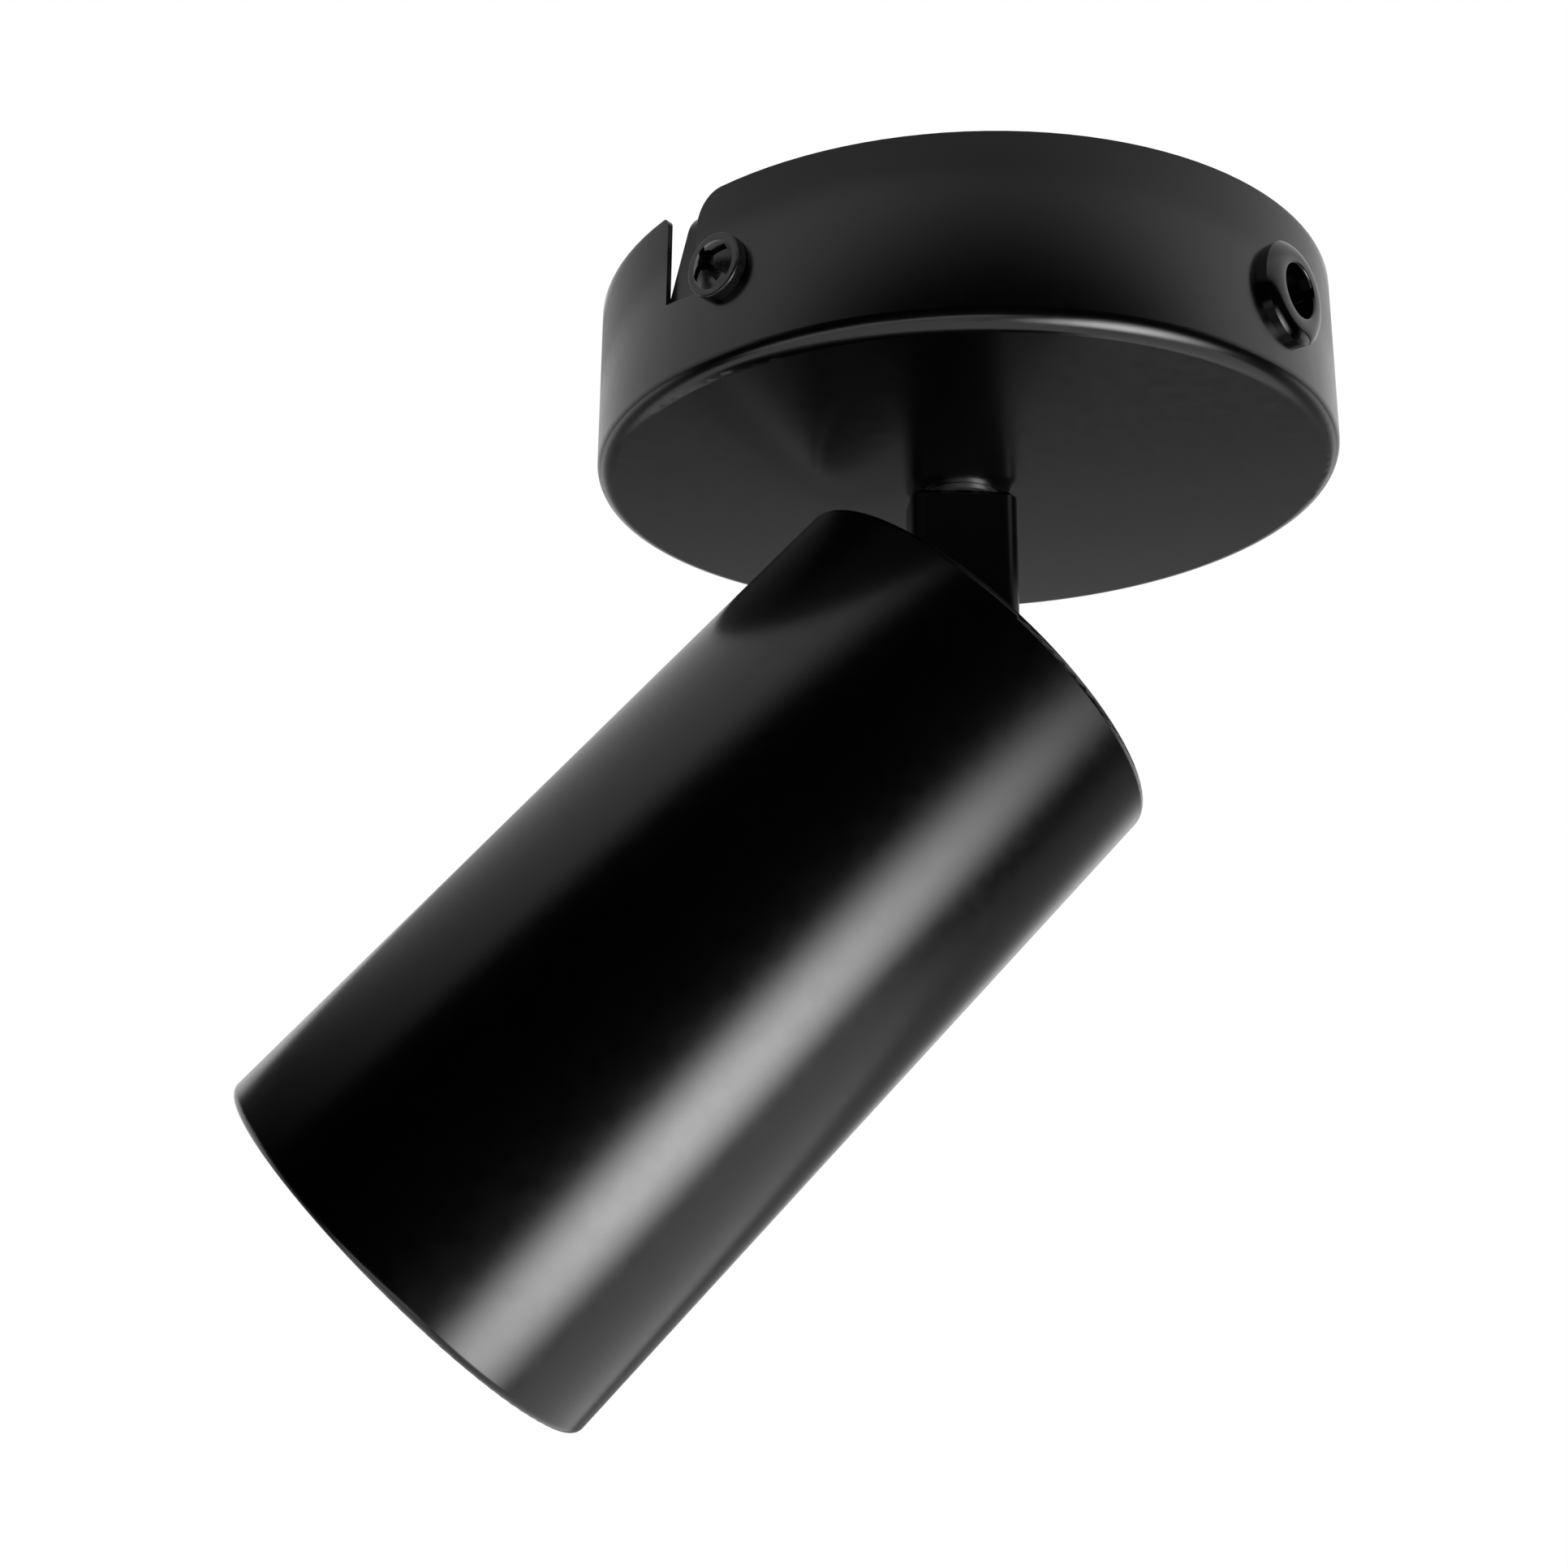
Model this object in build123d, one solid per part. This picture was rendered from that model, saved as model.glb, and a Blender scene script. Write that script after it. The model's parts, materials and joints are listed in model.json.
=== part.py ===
"""Surface mounted ceiling spotlight: a round canopy, a swivelling stem and a tilting tube head.

Millimetres, +Z up. The origin is the centre of the ceiling face, which is also the canopy's open
rim, so everything hangs below z = 0. The stem turns about Z. The head tilts about Y, and at rest
its front leans towards -X. Azimuths are degrees about Z, from +X towards +Y.
"""

import math
import os

from build123d import *

# Canopy: a drawn steel cup, open towards the ceiling.
CANOPY_RADIUS = 50.0
CANOPY_HEIGHT = 23.8
CANOPY_WALL = 0.8
CANOPY_EDGE_RADIUS = 2.1
CANOPY_INNER_EDGE_RADIUS = 1.3

# Bayonet notches: an entry open at the rim and a leg that leads to the screw's seat.
BRACKET_AZIMUTH = 47.5
SCREW_DEPTH = 11.0  # from the ceiling down to the canopy screws' axis
SLOT_CLEARANCE = 0.25
ENTRY_OFFSET = 7.0  # from the screw's axis to the entry's middle
ENTRY_WIDTH = 5.6
ENTRY_DEPTH = 12.0
ENTRY_NEAR_CORNER = 4.0
ENTRY_FAR_CORNER = 1.0

# Ceiling bracket: a flat strip with two tabs bent down inside the skirt.
BRACKET_THICKNESS = 1.5
STRIP_WIDTH = 12.9
TAB_WIDTH = 20.3
TAB_DROP = 18.0
TAB_FLARE_DROP = 11.2  # from the ceiling down to where a tab reaches its full width
TAB_EDGE_GAP = 0.1  # from the tabs' side edges to the skirt
BEND_RADIUS = 2.6
CEILING_HOLE_RADIUS = 2.5
CEILING_HOLE_PCD = 62.0

# Metric fasteners, by nominal radius.
THREAD_PLAY = 0.04
M3 = 1.5
M4 = 2.0
M3_HEAD_RADIUS = 2.85
M3_HEAD_HEIGHT = 1.8
M3_NUT_ACROSS_FLATS = 5.5
M3_NUT_HEIGHT = 2.0
M4_HEAD_RADIUS = 3.6
M4_HEAD_HEIGHT = 2.2
SCREW_END = 2.0  # how far a screw's end stands past what it holds
HEAD_ROUNDING = 0.45  # of a pan head's height
RECESS_REACH = 0.55  # of a pan head's radius, and of its height
RECESS_ARM = 0.36  # an arm's width, of the recess's reach

# Canopy screws: a flat flange with a dome on it, cut by a cross recess with a wide round middle.
CANOPY_SCREW_LENGTH = 9.0
CANOPY_SCREW_HEAD_RADIUS = 4.0
CANOPY_SCREW_FLANGE = 1.5
CANOPY_SCREW_FLANGE_ROUNDING = 0.3
CANOPY_SCREW_DOME_RADIUS = 3.1
CANOPY_SCREW_DOME_HEIGHT = 1.3
CANOPY_SCREW_RECESS_REACH = 2.75
CANOPY_SCREW_RECESS_MIDDLE = 1.25
CANOPY_SCREW_RECESS_DEPTH = 2.2
CANOPY_SCREW_TURN = 30.0

# Cable grommet in the skirt: its face rises in a curve from a low outer wall to the bore.
GROMMET_AZIMUTH = -47.2
GROMMET_DEPTH = 12.0
GROMMET_BORE_RADIUS = 3.4
GROMMET_BORE_ROUNDING = 0.25
GROMMET_FLANGE_RADIUS = 6.4
GROMMET_WALL_HEIGHT = 0.9
GROMMET_STAND_OFF = 1.8
GROMMET_HOLE_RADIUS = 4.7
GROMMET_INNER_FLANGE = 1.6
GROMMET_INNER_RADIUS = 5.8

# Terminal block on the canopy's floor.
TERMINAL_AZIMUTH = 138.5
TERMINAL_INSET = 19.8  # from the skirt's inner face to the block's middle
TERMINAL_PITCH = 8.0
TERMINAL_WAYS = 3
TERMINAL_LENGTH = 15.0
TERMINAL_HEIGHT = 11.0
TERMINAL_CORNER_RADIUS = 1.2
TERMINAL_GROOVE_WIDTH = 1.2
TERMINAL_GROOVE_DEPTH = 2.0
TERMINAL_TUBE_RADIUS = 2.1
TERMINAL_TUBE_BORE = 1.3
TERMINAL_TUBE_HEIGHT = 5.0
TERMINAL_GRIP = 6.3  # how far a lead's end lies inside its clamp tube
TERMINAL_SCREW_RADIUS = 1.2
TERMINAL_SCREW_LENGTH = 3.6
TERMINAL_SCREW_SPACING = 7.0
TERMINAL_CHIMNEY_RADIUS = 1.9
DRIVER_SLOT_WIDTH = 0.5
DRIVER_SLOT_DEPTH = 0.7

# Earth point on the canopy's floor.
EARTH_AZIMUTH = 96.0
EARTH_INSET = 15.8  # from the skirt's inner face to the earth screw
EARTH_TAG_TURN = 170.0
TAG_THICKNESS = 0.8
TAG_RADIUS = 4.0
TAG_LENGTH = 9.0
TAG_BARREL_RADIUS = 1.6
TAG_BARREL_LENGTH = 5.0
TAG_BARREL_BORE = 0.8
HEAD_EARTH_AZIMUTH = 35.0
HEAD_EARTH_DISTANCE = 18.5

# Stem: a flat block with a hollow threaded shank above and a slotted knuckle below.
STEM_WIDTH = 14.5
STEM_THICKNESS = 8.8
STEM_CORNER_RADIUS = 1.8
STEM_TOP_CHAMFER = 0.6
COLLAR_RADIUS = 5.2
COLLAR_THICKNESS = 0.7
SHANK_RADIUS = 4.0
SHANK_FLAT = 3.3  # from the axis to the flat that keys the stop washer
SHANK_RUNNING_GAP = 0.08
SHANK_BORE_RADIUS = 2.3
PIVOT_DROP = 26.5  # from the canopy's underside to the tilt axis
KNUCKLE_SLOT = 3.8
KNUCKLE_SLOT_HEIGHT = 3.6  # above the tilt axis
SLIP = 0.05  # running gap between flat faces that slide on each other

# Swivel fixing inside the canopy.
SLIP_WASHER_THICKNESS = 0.6
STOP_WASHER_THICKNESS = 1.2
STOP_WASHER_RADIUS = 7.5
STOP_TAB_REACH = 11.0
STOP_TAB_WIDTH = 3.0
STOP_PIN_RADIUS = 1.25
STOP_PIN_HEIGHT = 2.6
STOP_PIN_INSET = 0.5  # from the tab's end to the pin's outer side
WAVE_WASHER_THICKNESS = 0.8
WAVE_WASHER_RADIUS = 6.5
STEM_NUT_ACROSS_FLATS = 13.0
STEM_NUT_HEIGHT = 4.0
SHANK_PROUD = 1.0

# Head: a tube that is open at both ends, with its pivot just inside the back rim.
HEAD_RADIUS = 29.5
HEAD_LENGTH = 103.8
HEAD_WALL = 1.5
HEAD_EDGE_RADIUS = 0.95
HEAD_INNER_EDGE_RADIUS = 0.35
RIM_ABOVE_PIVOT = 1.7
TILT_REST = 43.0

# Pivot fork, welded plate and pivot screws.
FORK_THICKNESS = 2.0
FORK_CORNER_RADIUS = 3.0
EAR_THICKNESS = 2.5
EAR_RADIUS = 6.0
FORK_LENGTH = 29.0
KNUCKLE_CLEARANCE = 1.0  # from the knuckle's round end to the fork's web
FRICTION_WASHER_THICKNESS = 0.6
DISC_SPRING_THICKNESS = 0.5
PIVOT_TIP_RADIUS = 2.0
PIVOT_RUNNING_GAP = 0.05
PIVOT_THREAD_RADIUS = 2.5
PIVOT_WASHER_RADIUS = 4.6
PIVOT_HEAD_RADIUS = 4.25
PIVOT_HEAD_HEIGHT = 2.7
PIVOT_HEAD_ROUNDING = 0.9
PIVOT_SOCKET_ACROSS_FLATS = 3.0
PIVOT_SOCKET_DEPTH = 1.6
FORK_SCREW_SPACING = 21.0
BACK_PLATE_THICKNESS = 1.5
BACK_PLATE_SKIRT = 5.0
BUSH_BORE_RADIUS = 2.3
BUSH_RADIUS = 3.6
BUSH_FLANGE = 0.8
BUSH_FLANGE_RADIUS = 4.8

# Lampholder on its bracket.
HOLDER_BRACKET_THICKNESS = 1.2
HOLDER_BRACKET_WIDTH = 18.0
HOLDER_BRACKET_FOOT = 44.0
HOLDER_BRACKET_TOP = 26.0
HOLDER_RADIUS = 13.5
HOLDER_HEIGHT = 16.0
HOLDER_CHAMFER = 1.0
HOLDER_SCREW_SPACING = 19.0
HOLDER_SCREW_HEAD_RADIUS = 2.25
HOLDER_SCREW_GRIP = 5.0
HOLDER_SCREW_HOLE = 6.0
HOLDER_FOOT_SCREW_SPACING = 36.0
PIN_PITCH = 10.0
PIN_SOCKET_RADIUS = 2.9
PIN_SOCKET_DEPTH = 9.0
CONTACT_THICKNESS = 1.2
LEAD_ENTRY_RADIUS = 1.1

# Lamp: a 50 mm reflector lamp with two bayonet pins, 54 mm long with its pins.
LAMP_SET_BACK = 11.0  # from the head's front end to the lamp's front
LAMP_GAP = 0.3
LAMP_RADIUS = 25.0
LAMP_LENGTH = 47.0
LAMP_BASE_RADIUS = 13.0
LAMP_BASE_LENGTH = 14.0
LAMP_BASE_ROUNDING = 1.0
LAMP_BEZEL_LENGTH = 10.0
LAMP_LENS_RADIUS = 22.0
LAMP_LENS_THICKNESS = 3.0
LAMP_LENS_INSET = 0.4
LAMP_PIN_NECK_RADIUS = 1.6
LAMP_PIN_HEAD_RADIUS = 2.5
LAMP_PIN_HEAD_HEIGHT = 3.0
LAMP_PIN_LENGTH = 7.0
LAMP_PIN_ROOT = 3.0  # how deep the pins sit in the lamp's base

# Front ring: a baffle that holds the lamp's bezel, with three leaf springs.
RING_FLANGE_THICKNESS = 1.5
RING_OPENING_RADIUS = 22.8
RING_WALL = 1.2
RING_GAP = 0.6  # to the head's bore, where the leaf springs lie
RING_SET_BACK = 0.6
SPRING_COUNT = 3
SPRING_FIRST_AZIMUTH = 20.0
SPRING_WIDTH = 5.0
SPRING_LENGTH = 7.0
SPRING_THICKNESS = 0.4
SPRING_INSET = 0.3  # from the ring's lip to the springs
SPRING_FOOT = 1.0

# Leads: three insulated conductors, in a triangle where they run together.
LEAD_RADIUS = 0.75
LEAD_SPREAD = 0.96
LEAD_JOINT_GAP = 2.0  # left free on both sides of the tilt axis, where the leads bend
LEAD_EXIT = 2.0  # straight run out of a mouth
LEAD_ARCH = 6.0  # how far the canopy's leads rise above the shank
LEAD_STAGGER = 1.6  # what the arches differ by, for each millimetre between the leads
BOND_LEAD_EXIT = 4.0
BOND_LEAD_BOW = 8.0
SLEEVE_WALL = 0.35
LEAD_NAMES = ("live", "neutral", "earth")

# Levels along Z that several pieces share.
CANOPY_BOTTOM = -CANOPY_HEIGHT
CANOPY_FLOOR = CANOPY_BOTTOM + CANOPY_WALL
CANOPY_BORE = CANOPY_RADIUS - CANOPY_WALL
TERMINAL_DISTANCE = CANOPY_BORE - TERMINAL_INSET
EARTH_DISTANCE = CANOPY_BORE - EARTH_INSET
STEM_TOP = CANOPY_BOTTOM - COLLAR_THICKNESS
PIVOT_Z = CANOPY_BOTTOM - PIVOT_DROP
KNUCKLE_RADIUS = STEM_WIDTH / 2
SLIP_WASHER_Z = CANOPY_FLOOR + SLIP
STOP_WASHER_Z = SLIP_WASHER_Z + SLIP_WASHER_THICKNESS
WAVE_WASHER_Z = STOP_WASHER_Z + STOP_WASHER_THICKNESS
STEM_NUT_Z = WAVE_WASHER_Z + WAVE_WASHER_THICKNESS
SHANK_TOP = STEM_NUT_Z + STEM_NUT_HEIGHT + SHANK_PROUD

# Levels along the head's own axis, from the pivot, with the head hanging straight down.
HEAD_BORE = HEAD_RADIUS - HEAD_WALL
HEAD_FRONT = RIM_ABOVE_PIVOT - HEAD_LENGTH
WEB_TOP = -KNUCKLE_RADIUS - KNUCKLE_CLEARANCE
PLATE_TOP = WEB_TOP - FORK_THICKNESS
PLATE_BOTTOM = PLATE_TOP - BACK_PLATE_THICKNESS
LAMP_FRONT = HEAD_FRONT + LAMP_SET_BACK
LAMP_TOP = LAMP_FRONT + LAMP_LENGTH
HOLDER_BOTTOM = LAMP_TOP + LAMP_GAP
HOLDER_TOP = HOLDER_BOTTOM + HOLDER_HEIGHT
EAR_INNER = STEM_THICKNESS / 2 + SLIP + FRICTION_WASHER_THICKNESS + DISC_SPRING_THICKNESS
EAR_OUTER = EAR_INNER + EAR_THICKNESS
HEAD_PLACE = Pos(0, 0, PIVOT_Z) * Rot(0, TILT_REST, 0)


STANDING = (Align.CENTER, Align.CENTER, Align.MIN)


def disc(radius, bottom, top):
    """A solid round bar along Z between two levels."""
    return Pos(0, 0, bottom) * Cylinder(radius, top - bottom, align=STANDING)


def ring(outer, inner, bottom, top):
    """A round bar with a round bore."""
    return disc(outer, bottom, top) - disc(inner, bottom, top)


def block(x_size, y_size, bottom, top):
    """A box centred on Z between two levels."""
    return Pos(0, 0, bottom) * Box(x_size, y_size, top - bottom, align=STANDING)


def hexagon(across_flats, bottom, top):
    """A hexagonal bar along Z."""
    corner_radius = across_flats / math.sqrt(3)
    return Pos(0, 0, bottom) * extrude(RegularPolygon(corner_radius, 6), top - bottom)


def radial(azimuth, distance, z):
    """The place on the skirt at this azimuth, with local +Z pointing away from the canopy's axis."""
    return Rot(0, 0, azimuth) * Pos(distance, 0, z) * Rot(0, 90, 0)


def upright(sketch):
    """A sketch stood up in the YZ plane: its x along +Y, its y along +Z, its normal along +X."""
    return Rot(0, 0, 90) * Rot(90, 0, 0) * sketch


def cross_recess(radius, depth):
    """The cutter for a cross-shaped driver recess, with its mouth at z = 0."""
    arm = block(2 * radius, RECESS_ARM * radius, -depth, 0)
    return arm + Rot(0, 0, 90) * arm


def pan_screw(shank_radius, length, head_radius, head_height):
    """A pan-head screw whose head sits on z = 0 and whose shank points down."""
    head = disc(head_radius, 0, head_height)
    top_edge = head.edges().sort_by(Axis.Z)[-1]
    head = fillet(top_edge, HEAD_ROUNDING * head_height)
    recess = cross_recess(RECESS_REACH * head_radius, RECESS_REACH * head_height)
    return head - Pos(0, 0, head_height) * recess + disc(shank_radius, -length, 0)


def group(pieces):
    """Separate solids that share one node."""
    return Compound(children=list(pieces))


# Canopy body


def corner_relief(x, size, side):
    """What a round corner of this size removes beside a straight edge at x, below the rim."""
    square = Pos(x + side * size / 2, -size / 2) * Rectangle(size, size)
    return square - Pos(x + side * size, -size) * Circle(size)


def notch_outline():
    """The bayonet notch on the skirt: x is along the skirt from the screw, y is height."""
    slot_half = M4 + SLOT_CLEARANCE
    entry_right = ENTRY_WIDTH / 2 - ENTRY_OFFSET
    entry_left = entry_right - ENTRY_WIDTH
    entry = Pos(-ENTRY_OFFSET, -ENTRY_DEPTH / 2) * Rectangle(ENTRY_WIDTH, ENTRY_DEPTH)
    leg_points = [
        (entry_left, -ENTRY_DEPTH),
        (entry_left, -SCREW_DEPTH + slot_half),
        (0, -SCREW_DEPTH + slot_half),
        (0, -SCREW_DEPTH - slot_half),
    ]
    leg = make_face(Polyline(*leg_points, close=True))
    seat = Pos(0, -SCREW_DEPTH) * Circle(slot_half)
    near_corner = corner_relief(entry_right, ENTRY_NEAR_CORNER, 1)
    far_corner = corner_relief(entry_left, ENTRY_FAR_CORNER, -1)
    return entry + leg + seat + near_corner + far_corner


def notch_cutter(azimuth):
    """The notch's outline pushed through the skirt at the screw's azimuth."""
    reach = CANOPY_RADIUS / 2
    cutter = extrude(upright(notch_outline()), reach)
    return Rot(0, 0, azimuth) * Pos(CANOPY_RADIUS - reach / 2, 0, 0) * cutter


def grommet_place():
    """The grommet's axis, with its origin on the skirt's outer face."""
    return radial(GROMMET_AZIMUTH, CANOPY_RADIUS, -GROMMET_DEPTH)


def stop_pin_place():
    """The swivel stop on the canopy's floor, opposite the head's rest direction."""
    return Pos(STOP_TAB_REACH - STOP_PIN_RADIUS - STOP_PIN_INSET, 0, 0)


def earth_place():
    return Rot(0, 0, EARTH_AZIMUTH) * Pos(EARTH_DISTANCE, 0, 0)


def terminal_place():
    """The terminal block's frame on the canopy's floor: local X points to the canopy's axis."""
    return Rot(0, 0, TERMINAL_AZIMUTH) * Pos(TERMINAL_DISTANCE, 0, CANOPY_FLOOR) * Rot(0, 0, 180)


def canopy_cup():
    outside = disc(CANOPY_RADIUS, CANOPY_BOTTOM, 0)
    outside = fillet(outside.edges().group_by(Axis.Z)[0], CANOPY_EDGE_RADIUS)
    inside = disc(CANOPY_BORE, CANOPY_FLOOR, 0)
    inside = fillet(inside.edges().group_by(Axis.Z)[0], CANOPY_INNER_EDGE_RADIUS)
    cup = outside - inside
    cup -= disc(SHANK_RADIUS + SHANK_RUNNING_GAP, CANOPY_BOTTOM, CANOPY_FLOOR)
    cup -= notch_cutter(BRACKET_AZIMUTH)
    cup -= notch_cutter(BRACKET_AZIMUTH + 180)
    grommet_hole = disc(GROMMET_HOLE_RADIUS, -2 * CANOPY_WALL, CANOPY_WALL)
    cup -= grommet_place() * grommet_hole
    cup -= stop_pin_place() * disc(STOP_PIN_RADIUS, CANOPY_BOTTOM + CANOPY_WALL / 2, CANOPY_FLOOR)
    cup -= earth_place() * disc(M4, CANOPY_BOTTOM + CANOPY_WALL / 2, CANOPY_FLOOR)
    cup -= terminal_place() * disc(M3, -CANOPY_WALL / 2, 0)
    return cup


def tab_plane():
    """Distance from the axis to the tabs' outer faces, set by their side edges inside the skirt."""
    return math.sqrt((CANOPY_BORE - TAB_EDGE_GAP) ** 2 - (TAB_WIDTH / 2) ** 2)


def ceiling_bracket():
    face = tab_plane()
    section = Polyline(
        (-face, -TAB_DROP),
        (-face, 0),
        (face, 0),
        (face, -TAB_DROP),
        (face - BRACKET_THICKNESS, -TAB_DROP),
        (face - BRACKET_THICKNESS, -BRACKET_THICKNESS),
        (-face + BRACKET_THICKNESS, -BRACKET_THICKNESS),
        (-face + BRACKET_THICKNESS, -TAB_DROP),
        close=True,
    )
    section = make_face(section)
    outer_bends = section.vertices().filter_by(lambda v: abs(v.Y) < 1e-6)
    section = fillet(outer_bends, BEND_RADIUS)
    inner_level = -BRACKET_THICKNESS
    inner_bends = section.vertices().filter_by(lambda v: abs(v.Y - inner_level) < 1e-6)
    section = fillet(inner_bends, BEND_RADIUS - BRACKET_THICKNESS)
    strip = extrude(Rot(90, 0, 0) * section, TAB_WIDTH / 2, both=True)
    # The strip is narrower than the tabs' lower ends, and each tab flares below its bend.
    flare = Polyline(
        (STRIP_WIDTH / 2, 0),
        (TAB_WIDTH / 2, -TAB_FLARE_DROP),
        (TAB_WIDTH / 2, -TAB_DROP),
        (TAB_WIDTH, -TAB_DROP),
        (TAB_WIDTH, 0),
        close=True,
    )
    trim = extrude(upright(make_face(flare)), 2 * CANOPY_RADIUS)
    trim = Pos(-CANOPY_RADIUS, 0, 0) * trim
    strip -= trim
    strip -= Rot(0, 0, 180) * trim
    for side in (0, 180):
        strip -= radial(side, face, -SCREW_DEPTH) * disc(M4 + THREAD_PLAY, -2 * BRACKET_THICKNESS, 1)
        hole = Pos(CEILING_HOLE_PCD / 2, 0, 0) * disc(CEILING_HOLE_RADIUS, -BRACKET_THICKNESS, 0)
        strip -= Rot(0, 0, side) * hole
    return Rot(0, 0, BRACKET_AZIMUTH) * strip


def canopy_screw():
    """A screw whose flange sits on z = 0, with a domed head above it and the shank below."""
    rise = CANOPY_SCREW_DOME_HEIGHT
    top = CANOPY_SCREW_FLANGE + rise
    flange = disc(CANOPY_SCREW_HEAD_RADIUS, 0, CANOPY_SCREW_FLANGE)
    flange = fillet(flange.edges().sort_by(Axis.Z)[-1], CANOPY_SCREW_FLANGE_ROUNDING)
    ball_radius = (CANOPY_SCREW_DOME_RADIUS**2 + rise**2) / (2 * rise)
    ball = Pos(0, 0, top - ball_radius) * Sphere(ball_radius)
    dome = disc(CANOPY_SCREW_DOME_RADIUS, CANOPY_SCREW_FLANGE / 2, top) & ball
    recess = cross_recess(CANOPY_SCREW_RECESS_REACH, CANOPY_SCREW_RECESS_DEPTH)
    recess += disc(CANOPY_SCREW_RECESS_MIDDLE, -CANOPY_SCREW_RECESS_DEPTH, 0)
    head = flange + dome - Pos(0, 0, top) * Rot(0, 0, CANOPY_SCREW_TURN) * recess
    return head + disc(M4, -CANOPY_SCREW_LENGTH, 0)


def bracket_screws():
    azimuths = (BRACKET_AZIMUTH, BRACKET_AZIMUTH + 180)
    return group(radial(azimuth, CANOPY_RADIUS, -SCREW_DEPTH) * canopy_screw() for azimuth in azimuths)


def grommet_face():
    """Half the section of the grommet's outer lip: x is the distance from the bore's axis."""
    width = GROMMET_FLANGE_RADIUS - GROMMET_BORE_RADIUS
    rise = GROMMET_STAND_OFF - GROMMET_WALL_HEIGHT
    shoulder = math.sqrt(0.5)
    wall_top = (GROMMET_FLANGE_RADIUS, GROMMET_WALL_HEIGHT)
    middle = (GROMMET_BORE_RADIUS + shoulder * width, GROMMET_WALL_HEIGHT + shoulder * rise)
    crest = (GROMMET_BORE_RADIUS, GROMMET_STAND_OFF)
    bottom = ((GROMMET_BORE_RADIUS, -CANOPY_WALL), (GROMMET_FLANGE_RADIUS, -CANOPY_WALL))
    sides = Polyline(crest, *bottom, wall_top)
    return make_face(sides + ThreePointArc(wall_top, middle, crest))


def cable_grommet():
    """A rubber ring with a rounded outer lip, which grips the skirt on both sides."""
    inner_end = -CANOPY_WALL - GROMMET_INNER_FLANGE
    body = revolve(Rot(90, 0, 0) * grommet_face(), Axis.Z)
    body = fillet(body.edges().group_by(Axis.Z)[-1], GROMMET_BORE_ROUNDING)
    body += ring(GROMMET_INNER_RADIUS, GROMMET_BORE_RADIUS, inner_end, -CANOPY_WALL / 2)
    skirt = ring(CANOPY_RADIUS, CANOPY_BORE, CANOPY_BOTTOM, 0)
    skirt -= grommet_place() * disc(GROMMET_HOLE_RADIUS, -2 * CANOPY_WALL, CANOPY_WALL)
    return grommet_place() * body - skirt


def terminal_ways():
    """The clamps' offsets along the terminal block."""
    middle = (TERMINAL_WAYS - 1) / 2
    return [(way - middle) * TERMINAL_PITCH for way in range(TERMINAL_WAYS)]


def terminal_bore(radius):
    """A bar along local X through one way of the terminal block."""
    bar = disc(radius, -TERMINAL_LENGTH / 2, TERMINAL_LENGTH / 2)
    return Pos(0, 0, TERMINAL_TUBE_HEIGHT) * Rot(0, 90, 0) * bar


def terminal_block():
    body = block(TERMINAL_LENGTH, TERMINAL_WAYS * TERMINAL_PITCH, 0, TERMINAL_HEIGHT)
    body = fillet(body.edges().filter_by(Axis.Z), TERMINAL_CORNER_RADIUS)
    for y in terminal_ways():
        body -= Pos(0, y, 0) * terminal_bore(TERMINAL_TUBE_RADIUS)
        for x in (-TERMINAL_SCREW_SPACING / 2, TERMINAL_SCREW_SPACING / 2):
            chimney = disc(TERMINAL_CHIMNEY_RADIUS, TERMINAL_TUBE_HEIGHT, TERMINAL_HEIGHT)
            body -= Pos(x, y, 0) * chimney
    for y in (-TERMINAL_PITCH / 2, TERMINAL_PITCH / 2):
        groove_floor = TERMINAL_HEIGHT - TERMINAL_GROOVE_DEPTH
        groove = block(TERMINAL_LENGTH, TERMINAL_GROOVE_WIDTH, groove_floor, TERMINAL_HEIGHT)
        body -= Pos(0, y, 0) * groove
    return body


def fixed_terminal_block():
    """The block with the hole for its fixing screw, between two ways."""
    body = terminal_block()
    body -= Pos(0, TERMINAL_PITCH / 2, 0) * disc(M3 + THREAD_PLAY, 0, TERMINAL_HEIGHT)
    return terminal_place() * Pos(0, -TERMINAL_PITCH / 2, 0) * body


def clamp_tubes():
    """Brass tubes, each with two threaded holes for its clamp screws."""
    tubes = []
    for y in terminal_ways():
        tube = terminal_bore(TERMINAL_TUBE_RADIUS) - terminal_bore(TERMINAL_TUBE_BORE)
        for x in (-TERMINAL_SCREW_SPACING / 2, TERMINAL_SCREW_SPACING / 2):
            hole = disc(TERMINAL_SCREW_RADIUS, TERMINAL_TUBE_HEIGHT, TERMINAL_HEIGHT)
            tube -= Pos(x, 0, 0) * hole
        tubes.append(terminal_place() * Pos(0, y - TERMINAL_PITCH / 2, 0) * tube)
    return group(tubes)


def clamp_screws():
    screws = []
    tip = TERMINAL_TUBE_HEIGHT + LEAD_RADIUS
    top = tip + TERMINAL_SCREW_LENGTH
    screw = disc(TERMINAL_SCREW_RADIUS - THREAD_PLAY, tip, top)
    screw -= block(4 * TERMINAL_SCREW_RADIUS, DRIVER_SLOT_WIDTH, top - DRIVER_SLOT_DEPTH, top)
    for y in terminal_ways():
        for x in (-TERMINAL_SCREW_SPACING / 2, TERMINAL_SCREW_SPACING / 2):
            screws.append(terminal_place() * Pos(x, y - TERMINAL_PITCH / 2, 0) * screw)
    return group(screws)


def terminal_fixing_screw():
    screw = pan_screw(M3, TERMINAL_HEIGHT + CANOPY_WALL / 2, M3_HEAD_RADIUS, M3_HEAD_HEIGHT)
    return terminal_place() * Pos(0, 0, TERMINAL_HEIGHT) * screw


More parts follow.
